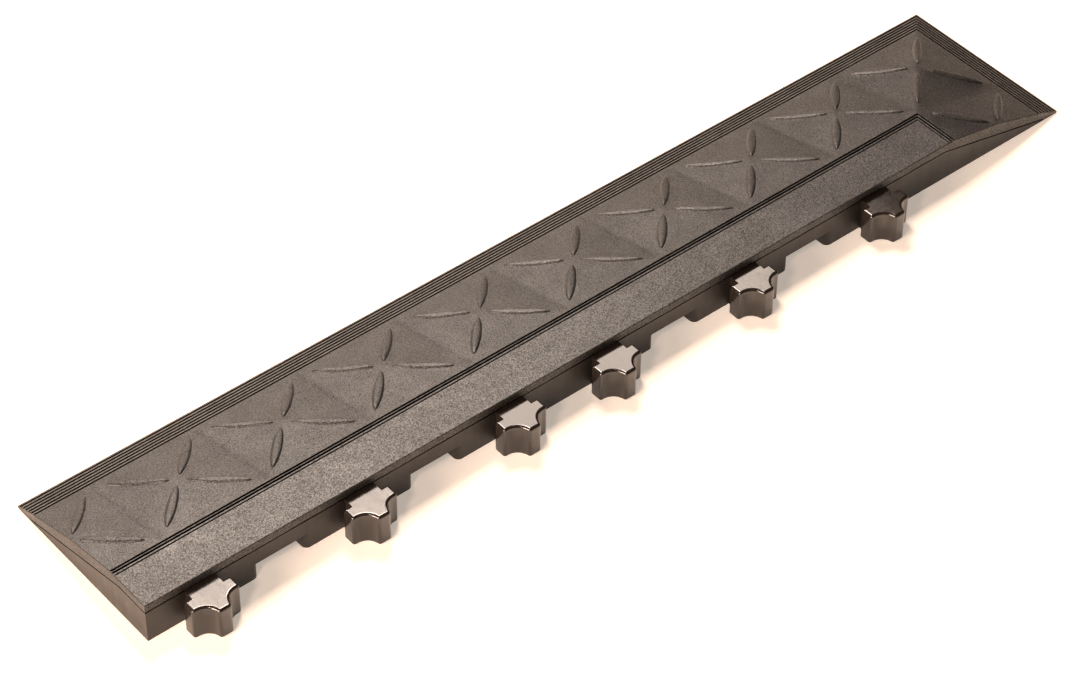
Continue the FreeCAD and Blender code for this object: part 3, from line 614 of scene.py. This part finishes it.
def lug_outline(lug, inset):
    """Plan of a lug, moved inwards by inset: neck, side arms, hollows and front arm.

    The hollows are arcs whose radius grows with the inset. The neck keeps its width."""
    side = lug.side - inset
    back = -(lug.gap + inset)
    ledge = -(lug.reach - lug.hollow) + inset
    front = -lug.reach + inset
    middle = lug.side - lug.ledge
    radius = lug.hollow + inset
    r = max(lug.corner - inset, 0.25 * MM)
    last = math.pi - math.asin(inset / radius) - r / radius
    turn = np.linspace(math.pi / 2, last, 17)
    arc = np.stack([middle + radius * np.cos(turn), -lug.reach + radius * np.sin(turn)], -1)
    onwards = np.array([-math.sin(last), math.cos(last)])
    tip = arc[-1] + onwards * (front - arc[-1, 1]) / onwards[1]
    neck_end = lug.root_start + 0.5 * MM
    parts = [[(lug.neck, neck_end)],
             corner_arc((lug.neck, neck_end), (lug.neck, back), (side, back), 1.0 * MM),
             corner_arc((lug.neck, back), (side, back), (side, ledge), r),
             corner_arc((side, back), (side, ledge), (middle, ledge), r),
             arc[1:-1], corner_arc(arc[-1], tip, (0.0, front), r)]
    right = np.concatenate(parts)
    left = right[::-1] * np.array([-1.0, 1.0])
    return np.concatenate([right, left])


def tower(outlines, heights, middle):
    """A closed solid from outlines stacked at their heights, capped above and below."""
    count = len(outlines[0])
    points = [np.column_stack([o[:, 0] + middle[0], o[:, 1] + middle[1], np.full(count, z)])
              for o, z in zip(outlines, heights)]
    points = np.concatenate(points)
    rows = np.arange(len(outlines) * count).reshape(len(outlines), count)
    faces = []
    for row in range(len(outlines) - 1):
        faces += ring_faces(rows[row], rows[row + 1])
    faces.append(rows[0][::-1].tolist())
    faces.append(rows[-1].tolist())
    return points, faces


def outward(points, faces, outline):
    """Faces turned so that they point outwards, whichever way the outline runs."""
    x, y = outline[:, 0], outline[:, 1]
    area = np.sum(x * np.roll(y, -1) - np.roll(x, -1) * y)
    return faces if area < 0 else [face[::-1] for face in faces]


def lug_levels(lug, top, steps=8):
    """Insets and heights up a lug: a quarter-round foot, upright sides, a quarter-round top."""
    turn = np.linspace(0.0, math.pi / 2, steps)
    foot = [(lug.foot * (1 - math.sin(a)), lug.foot * (1 - math.cos(a))) for a in turn]
    sides = [(0.0, lug.foot + 0.5 * MM), (0.0, top - lug.edge - 0.5 * MM)]
    edge = [(lug.edge * (1 - math.cos(a)), top - lug.edge * (1 - math.sin(a))) for a in turn]
    return foot + sides + edge + [(lug.edge + 0.4 * MM, top)]


class RAMP_OT_build_lugs(Operator):
    """Build the six connector lugs with bevelled tops and roots inside the wall"""

    bl_idname = "ramp.build_lugs"
    bl_label = "Build connector lugs"

    def execute(self, context):
        lug = context.scene.ramp_lug
        material = lug_polymer(context.scene.ramp_finish)
        for node in LUG_NODES:
            low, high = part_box(node)
            middle = ((low[0] + high[0]) / 2, WALL_Y)
            levels = lug_levels(lug, high[2])
            outlines = [lug_outline(lug, inset) for inset, z in levels]
            points, faces = tower(outlines, [z for inset, z in levels], middle)
            faces = outward(points, faces, outlines[0])
            root, root_faces = self.root(lug, middle, high[2])
            faces = faces + [[v + len(points) for v in face] for face in root_faces]
            points = np.concatenate([points, root])
            new_piece(node + "_moulding", points, faces, [node], material, 32.0)
        return {"FINISHED"}

    def root(self, lug, middle, top):
        """The root block: a rectangle with eased edges, stacked from its floor to the top."""
        def rectangle(inset):
            half, near, far = lug.root_half - inset, lug.root_start + inset, lug.root_end - inset
            corners = [(half, near), (half, far), (-half, far), (-half, near)]
            return np.concatenate([corner_arc(corners[n - 1], corners[n], corners[(n + 1) % 4],
                                              0.8 * MM, 4) for n in range(4)])
        levels = [(0.7 * MM, lug.root_floor), (0.0, lug.root_floor + 0.7 * MM),
                  (0.0, top - 0.5 * MM), (0.4 * MM, top - 0.05 * MM)]
        outlines = [rectangle(inset) for inset, z in levels]
        points, faces = tower(outlines, [z for inset, z in levels], middle)
        return points, outward(points, faces, outlines[0])


# ---------------------------------------------------------------------------------------
# Materials
# ---------------------------------------------------------------------------------------

class Nodes:
    """Short calls for building a material's node tree."""

    def __init__(self, name):
        self.material = bpy.data.materials.new(name)
        self.material.use_nodes = True
        self.tree = self.material.node_tree
        self.shader = self.tree.nodes["Principled BSDF"]
        self.place = self.new("ShaderNodeTexCoord").outputs["Object"]

    def new(self, kind, **values):
        node = self.tree.nodes.new(kind)
        for key, value in values.items():
            setattr(node, key, value)
        return node

    def link(self, source, target):
        self.tree.links.new(source, target)

    def scaled(self, scale, turn=0.0):
        """Object coordinates stretched by scale and turned about Z."""
        node = self.new("ShaderNodeMapping")
        node.inputs["Scale"].default_value = scale
        node.inputs["Rotation"].default_value = (0.0, 0.0, turn)
        self.link(self.place, node.inputs["Vector"])
        return node.outputs["Vector"]

    def noise(self, scale, detail=3.0, rough=0.5, where=None):
        """Noise from 0 to 1, scale in patches per metre."""
        node = self.new("ShaderNodeTexNoise")
        node.inputs["Scale"].default_value = scale
        node.inputs["Detail"].default_value = detail
        node.inputs["Roughness"].default_value = rough
        self.link(where or self.place, node.inputs["Vector"])
        return node.outputs["Fac"]

    def cells(self, scale):
        """Distance to the middle of the nearest cell, for pebbled grain."""
        node = self.new("ShaderNodeTexVoronoi")
        node.inputs["Scale"].default_value = scale
        self.link(self.place, node.inputs["Vector"])
        return node.outputs["Distance"]

    def spread(self, value, low, high, to_low, to_high):
        """Map low..high to to_low..to_high, held at the ends."""
        node = self.new("ShaderNodeMapRange")
        for key, number in (("From Min", low), ("From Max", high), ("To Min", to_low),
                            ("To Max", to_high)):
            node.inputs[key].default_value = number
        self.link(value, node.inputs["Value"])
        return node.outputs["Result"]

    def math(self, operation, a, b):
        node = self.new("ShaderNodeMath", operation=operation)
        for socket, value in zip(node.inputs, (a, b)):
            if isinstance(value, (int, float)):
                socket.default_value = value
            else:
                self.link(value, socket)
        return node.outputs["Value"]

    def tint(self, color, factor):
        """A colour made lighter or darker by a varying factor."""
        node = self.new("ShaderNodeMix", data_type="RGBA", blend_type="MULTIPLY")
        node.inputs["Factor"].default_value = 1.0
        node.inputs["A"].default_value = (*color, 1.0)
        self.link(factor, node.inputs["B"])
        return node.outputs["Result"]

    def attribute(self, name):
        return self.new("ShaderNodeAttribute", attribute_name=name).outputs["Fac"]

    def facing_up(self):
        """How far the surface faces up: 1 on level ground and 0 on an upright face."""
        split = self.new("ShaderNodeSeparateXYZ")
        self.link(self.new("ShaderNodeNewGeometry").outputs["Normal"], split.inputs["Vector"])
        return split.outputs["Z"]

    def bump(self, height, strength, distance, below=None):
        """Surface relief from a height, on top of another relief."""
        node = self.new("ShaderNodeBump")
        node.inputs["Strength"].default_value = strength
        node.inputs["Distance"].default_value = distance
        self.link(height, node.inputs["Height"])
        if below is not None:
            self.link(below, node.inputs["Normal"])
        return node.outputs["Normal"]

    def finish(self, color=None, roughness=None, normal=None, **constants):
        """Connect the varying inputs and set the constant ones on the shader."""
        if color is not None:
            self.link(color, self.shader.inputs["Base Color"])
        if roughness is not None:
            self.link(roughness, self.shader.inputs["Roughness"])
        if normal is not None:
            self.link(normal, self.shader.inputs["Normal"])
        for key, value in constants.items():
            self.shader.inputs[key.replace("_", " ")].default_value = value
        return self.material


def cover_rubber(finish):
    """Grained rubber: pebbled grain, cloudy bloom, scuffs, painted light on the toe ridges, painted
    shade in the grooves and valleys.
    """
    n = Nodes("tread_cover_rubber")
    bloom = n.noise(9.0, 4.0, 0.6)
    patches = n.noise(34.0, 3.0, 0.55)
    speck = n.noise(820.0, 3.0, 0.7)
    pebble = n.cells(600.0)
    scuffs = n.noise(1.0, 5.0, 0.7, n.scaled((190.0, 9.0, 60.0), turn=0.12))
    # Painted shade: grooves and the valleys between cells are darkened in colour and in reflection;
    # bars are a little darker.
    dark = n.math("MULTIPLY", n.spread(n.attribute("bar"), 0.1, 0.8, 1.0, 0.88),
                  n.spread(n.attribute("groove"), 0.04, 0.45, 1.0, 0.06))
    dark = n.math("MULTIPLY", dark, n.spread(n.attribute("valley"), 0.2, 1.0, 1.0, 0.80))
    # Painted light: the ridges between the toe grooves are made lighter in colour, and more
    # reflective, as if lit.
    painted_ridge_light = n.spread(n.attribute("ridge"), 0.2, 1.0, 1.0, 2.2)
    shade = n.math("MULTIPLY", n.spread(bloom, 0.32, 0.68, 0.90, 1.12),
                   n.spread(patches, 0.3, 0.7, 0.95, 1.06))
    shade = n.math("MULTIPLY", shade, n.spread(speck, 0.38, 0.62, 0.45, 1.55))
    shade = n.math("MULTIPLY", n.math("MULTIPLY", shade, painted_ridge_light), dark)
    rough = n.math("ADD", n.spread(bloom, 0.3, 0.7, 0.46, 0.54),
                   n.spread(scuffs, 0.58, 0.75, 0.0, -0.05))
    rough = n.math("ADD", rough, n.spread(speck, 0.3, 0.7, 0.05, -0.05))
    sheen = n.math("MULTIPLY", dark, n.spread(speck, 0.38, 0.62, 0.26, 1.0))
    sheen = n.math("MULTIPLY", sheen, n.spread(n.attribute("ridge"), 0.2, 1.0, 1.0, 1.35))
    sheen = n.math("MULTIPLY", sheen, n.spread(patches, 0.35, 0.68, 0.92, 1.14))
    n.link(sheen, n.shader.inputs["Specular IOR Level"])
    coarse = n.bump(pebble, finish.grain, 0.00040)
    fine = n.bump(speck, finish.grain, 0.00080, coarse)
    return n.finish(n.tint(finish.cover_color, shade), rough, fine)


def base_rubber(finish):
    """Plainer moulded rubber: flow marks, painted floor bounce at the foot, a light grain and painted
    shade on the joint.
    """
    n = Nodes("ramp_base_rubber")
    flow = n.noise(1.0, 4.0, 0.6, n.scaled((14.0, 14.0, 60.0)))
    patches = n.noise(45.0, 4.0, 0.6)
    speck = n.noise(520.0, 3.0, 0.6)
    drips = n.noise(1.0, 3.0, 0.5, n.scaled((120.0, 120.0, 7.0)))
    split = n.new("ShaderNodeSeparateXYZ")
    n.link(n.place, split.inputs["Vector"])
    # Painted light: the base grows lighter towards the floor, for light bounced up from the floor.
    dust_and_floor_bounce = n.spread(split.outputs["Z"], 0.0, 0.012, 1.22, 1.0)
    shade = n.math("MULTIPLY", n.spread(flow, 0.3, 0.7, 0.86, 1.14),
                   n.spread(patches, 0.3, 0.7, 0.92, 1.10))
    shade = n.math("MULTIPLY", shade, n.spread(speck, 0.3, 0.7, 0.88, 1.14))
    # Painted shade: faces of the base that look up lie under the cover; they are darkened in colour
    # and reflection.
    under = n.spread(n.facing_up(), 0.4, 0.8, 1.0, 0.08)
    shade = n.math("MULTIPLY", n.math("MULTIPLY", shade, dust_and_floor_bounce), under)
    n.link(n.math("MULTIPLY", under, 0.5), n.shader.inputs["Specular IOR Level"])
    rough = n.math("ADD", n.spread(patches, 0.3, 0.7, 0.40, 0.52),
                   n.spread(drips, 0.3, 0.7, -0.04, 0.04))
    relief = n.bump(drips, 0.25, 0.0004)
    relief = n.bump(speck, finish.grain * 0.6, 0.00020, relief)
    return n.finish(n.tint(finish.base_color, shade), rough, relief)


def lug_polymer(finish):
    """Hard glossy polymer: fine drag lines down the sides and soft smears on the top."""
    n = Nodes("lug_gloss_polymer")
    drag = n.noise(1.0, 4.0, 0.6, n.scaled((420.0, 420.0, 9.0)))
    smear = n.noise(70.0, 4.0, 0.6, n.scaled((1.0, 0.35, 1.0), turn=0.5))
    speck = n.noise(900.0, 2.0, 0.5)
    shade = n.math("MULTIPLY", n.spread(drag, 0.3, 0.7, 0.80, 1.25),
                   n.spread(smear, 0.3, 0.7, 0.9, 1.12))
    rough = n.math("ADD", n.spread(smear, 0.35, 0.7, 0.09, 0.15),
                   n.spread(drag, 0.3, 0.7, -0.02, 0.05))
    upright = n.spread(n.facing_up(), 0.5, 0.9, 1.0, 0.0)
    relief = n.bump(n.math("MULTIPLY", drag, upright), 0.12, 0.0003)
    relief = n.bump(speck, 0.03, 0.00006, relief)
    return n.finish(n.tint(finish.lug_color, shade), rough, relief, Specular_IOR_Level=0.62)


def plated_steel(finish):
    """Zinc plated steel: brushed lines, dull patches and small pits."""
    n = Nodes("zinc_plated_steel")
    brush = n.noise(1.0, 4.0, 0.6, n.scaled((60.0, 2400.0, 900.0)))
    dull = n.noise(160.0, 4.0, 0.6)
    pits = n.cells(1400.0)
    shade = n.math("MULTIPLY", n.spread(dull, 0.3, 0.7, 0.78, 1.06),
                   n.spread(brush, 0.3, 0.7, 0.92, 1.05))
    rough = n.math("ADD", n.spread(dull, 0.3, 0.7, 0.42, 0.27),
                   n.spread(brush, 0.3, 0.7, -0.05, 0.05))
    relief = n.bump(brush, 0.12, 0.00008, n.bump(pits, 0.10, 0.00006))
    return n.finish(n.tint(finish.steel_color, shade), rough, relief, Metallic=1.0)


def machined_brass(finish):
    """Machined brass: turning marks and light tarnish."""
    n = Nodes("machined_brass")
    turning = n.noise(1.0, 3.0, 0.5, n.scaled((90.0, 90.0, 3200.0)))
    tarnish = n.noise(220.0, 4.0, 0.6)
    shade = n.math("MULTIPLY", n.spread(tarnish, 0.3, 0.7, 0.74, 1.06),
                   n.spread(turning, 0.3, 0.7, 0.94, 1.04))
    rough = n.spread(tarnish, 0.3, 0.7, 0.40, 0.22)
    return n.finish(n.tint(finish.brass_color, shade), rough, n.bump(turning, 0.18, 0.00008),
                    Metallic=1.0)


def grip_rubber(finish):
    """Soft grip strip: cross ribs, fine pores and a little dust."""
    n = Nodes("soft_grip_rubber")
    ribs = n.new("ShaderNodeTexWave", wave_type="BANDS", bands_direction="DIAGONAL")
    ribs.inputs["Scale"].default_value = 90.0
    ribs.inputs["Distortion"].default_value = 0.3
    n.link(n.place, ribs.inputs["Vector"])
    pores = n.cells(1500.0)
    dust_and_floor_bounce = n.noise(60.0, 4.0, 0.6)
    shade = n.math("MULTIPLY", n.spread(dust_and_floor_bounce, 0.3, 0.7, 0.85, 1.5),
                   n.spread(pores, 0.0, 0.6, 0.8, 1.1))
    rough = n.spread(dust_and_floor_bounce, 0.3, 0.7, 0.62, 0.82)
    relief = n.bump(ribs.outputs["Fac"], 0.5, 0.0006, n.bump(pores, 0.2, 0.0002))
    return n.finish(n.tint(finish.grip_color, shade), rough, relief, Specular_IOR_Level=0.35)


def coat(node_names, material):
    """Give CAD nodes a detailed material in all their slots."""
    for name in node_names:
        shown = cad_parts[name]
        for number in range(len(shown.material_slots)):
            shown.material_slots[number].material = material


class RAMP_OT_finish_base(Operator):
    """Give the hollow base its moulded rubber"""

    bl_idname = "ramp.finish_base"
    bl_label = "Finish base"

    def execute(self, context):
        coat(["ramp_base"], base_rubber(context.scene.ramp_finish))
        return {"FINISHED"}


class RAMP_OT_finish_fixings(Operator):
    """Give the keeper plates, screws and washers their plating, and the inserts their brass"""

    bl_idname = "ramp.finish_fixings"
    bl_label = "Finish fixings"

    def execute(self, context):
        finish = context.scene.ramp_finish
        coat(KEEPER_NODES + ["keeper_screws", "cover_screws", "cover_screw_washers"],
             plated_steel(finish))
        coat(["keeper_inserts", "cover_inserts"], machined_brass(finish))
        return {"FINISHED"}


class RAMP_OT_finish_grips(Operator):
    """Give the strips under the ramp their soft ribbed rubber"""

    bl_idname = "ramp.finish_grips"
    bl_label = "Finish grip strips"

    def execute(self, context):
        coat(["grip_strip_long", "grip_strip_short"], grip_rubber(context.scene.ramp_finish))
        return {"FINISHED"}


# ---------------------------------------------------------------------------------------
# Studio
# ---------------------------------------------------------------------------------------

CAMERA_PLACE = (-1.5129, -1.7337, 2.1634)
CAMERA_AHEAD = (0.46504, 0.55293, -0.69137)
CAMERA_RIGHT = (0.76982, -0.63822, 0.00739)

CEILING = 2.00
ROOM_STRENGTH = 0.04
FLOOR_REACH = 9.0

# Each softbox: name, place, point it faces, width, height, power in watts. Those at the
# ceiling take the ceiling light's colour and the rest the side light's.
SOFTBOXES = (
    ("softbox_back", (0.20, 2.00, CEILING), (0.20, 2.00, 0.0), 0.35, 0.50, 104.0),
    ("softbox_top", (0.40, 1.00, CEILING), (0.40, 1.00, 0.0), 0.70, 0.50, 50.0),
    ("softbox_mirror", (1.06, 1.55, CEILING), (1.06, 1.55, 0.0), 1.55, 0.70, 31.0),
    ("softbox_left", (-2.87, -0.25, 0.83), (0.0, 0.0, 0.0), 1.30, 1.30, 165.0),
    ("softbox_front", (-2.14, -1.00, 1.85), (0.0, 0.0, 0.0), 0.40, 0.40, 24.0),
)


def aim(place, target):
    """A placement at place whose -Z looks at target."""
    place, target = Vector(place), Vector(target)
    turn = (target - place).to_track_quat("-Z", "Y").to_matrix().to_4x4()
    return Matrix.Translation(place) @ turn


def studio_floor_material(stage):
    """Pale matt sheet with a trace of tooth, lit a little from below."""
    n = Nodes("studio_floor_sheet")
    tooth = n.noise(300.0, 2.0, 0.5)
    glow = n.shader.inputs
    glow["Emission Color"].default_value = (*stage.floor_color, 1.0)
    glow["Emission Strength"].default_value = stage.floor_glow
    return n.finish(n.tint(stage.floor_color, n.spread(tooth, 0.3, 0.7, 0.99, 1.0)),
                    n.spread(tooth, 0.3, 0.7, 0.85, 0.95), None, Specular_IOR_Level=0.1)


class RAMP_OT_build_stage(Operator):
    """Lay the pale floor, hang the softboxes and set the camera"""

    bl_idname = "ramp.build_stage"
    bl_label = "Build stage"

    def execute(self, context):
        stage = context.scene.ramp_stage
        self.lay_floor(context, stage)
        self.hang_lights(context, stage)
        self.set_camera(context, stage)
        return {"FINISHED"}

    def lay_floor(self, context, stage):
        """A large square at floor level."""
        corners = np.array([[-1, -1], [1, -1], [1, 1], [-1, 1]]) * FLOOR_REACH
        points = np.column_stack([corners, np.full(4, CAD_BOX[0][2])])
        mesh = bpy.data.meshes.new("studio_floor")
        mesh.from_pydata(points.tolist(), [], [[0, 1, 2, 3]])
        mesh.materials.append(studio_floor_material(stage))
        floor = bpy.data.objects.new("studio_floor", mesh)
        floor.hide_render = not stage.show_floor
        context.scene.collection.objects.link(floor)

    def hang_lights(self, context, stage):
        """Softboxes overhead, at the left and in front, and a dim room round them."""
        for name, place, target, width, height, power in SOFTBOXES:
            light = bpy.data.lights.new(name, "AREA")
            light.shape = "RECTANGLE"
            light.size = width
            light.size_y = height
            light.energy = power
            overhead = place[2] == CEILING
            light.color = stage.light_color if overhead else stage.low_light_color
            lamp = bpy.data.objects.new(name, light)
            lamp.matrix_world = aim(place, target)
            context.scene.collection.objects.link(lamp)
        world = bpy.data.worlds.new("studio_room")
        world.use_nodes = True
        room = world.node_tree.nodes["Background"]
        room.inputs["Color"].default_value = (*stage.light_color, 1.0)
        room.inputs["Strength"].default_value = ROOM_STRENGTH
        context.scene.world = world
        context.scene.view_settings.view_transform = "Standard"

    def set_camera(self, context, stage):
        """Look down along the ramp from the left of its high wall."""
        ahead, right = Vector(CAMERA_AHEAD).normalized(), Vector(CAMERA_RIGHT).normalized()
        up = right.cross(ahead)
        turn = Matrix((right, up, -ahead)).transposed().to_4x4()
        lens = bpy.data.cameras.new("studio_camera")
        lens.lens = stage.lens
        lens.sensor_fit = "HORIZONTAL"
        lens.sensor_width = 36.0
        lens.clip_end = 50.0
        camera = bpy.data.objects.new("studio_camera", lens)
        camera.matrix_world = Matrix.Translation(Vector(CAMERA_PLACE)) @ turn
        context.scene.collection.objects.link(camera)
        context.scene.camera = camera


# ---------------------------------------------------------------------------------------
# Panel and registration
# ---------------------------------------------------------------------------------------

OPERATORS = (RAMP_OT_build_cover, RAMP_OT_finish_base, RAMP_OT_build_lugs,
             RAMP_OT_finish_fixings, RAMP_OT_finish_grips, RAMP_OT_build_stage)


class RAMP_PT_panel(Panel):
    """Lists the ramp's pieces and their settings"""

    bl_idname = "RAMP_PT_panel"
    bl_label = "Cable protector ramp"
    bl_space_type = "VIEW_3D"
    bl_region_type = "UI"
    bl_category = "Ramp"

    def draw(self, context):
        for operator in OPERATORS:
            self.layout.operator(operator.bl_idname)
        for name, kind in SETTINGS:
            box = self.layout.box()
            box.label(text=kind.__doc__)
            for key in kind.__annotations__:
                box.prop(getattr(context.scene, name), key)


CLASSES = tuple(kind for _, kind in SETTINGS) + OPERATORS + (RAMP_PT_panel,)


def register():
    """Register the classes and hang the settings on the scene."""
    for item in CLASSES:
        bpy.utils.register_class(item)
    for name, kind in SETTINGS:
        setattr(bpy.types.Scene, name, PointerProperty(type=kind))


def unregister():
    """Take the settings and the classes away again."""
    for name, _ in SETTINGS:
        delattr(bpy.types.Scene, name)
    for item in reversed(CLASSES):
        bpy.utils.unregister_class(item)


def main():
    register()
    bpy.ops.ramp.build_cover()
    bpy.ops.ramp.finish_base()
    bpy.ops.ramp.build_lugs()
    bpy.ops.ramp.finish_fixings()
    bpy.ops.ramp.finish_grips()
    bpy.ops.ramp.build_stage()
    bpy.context.view_layer.update()


if __name__ == "__main__":
    main()
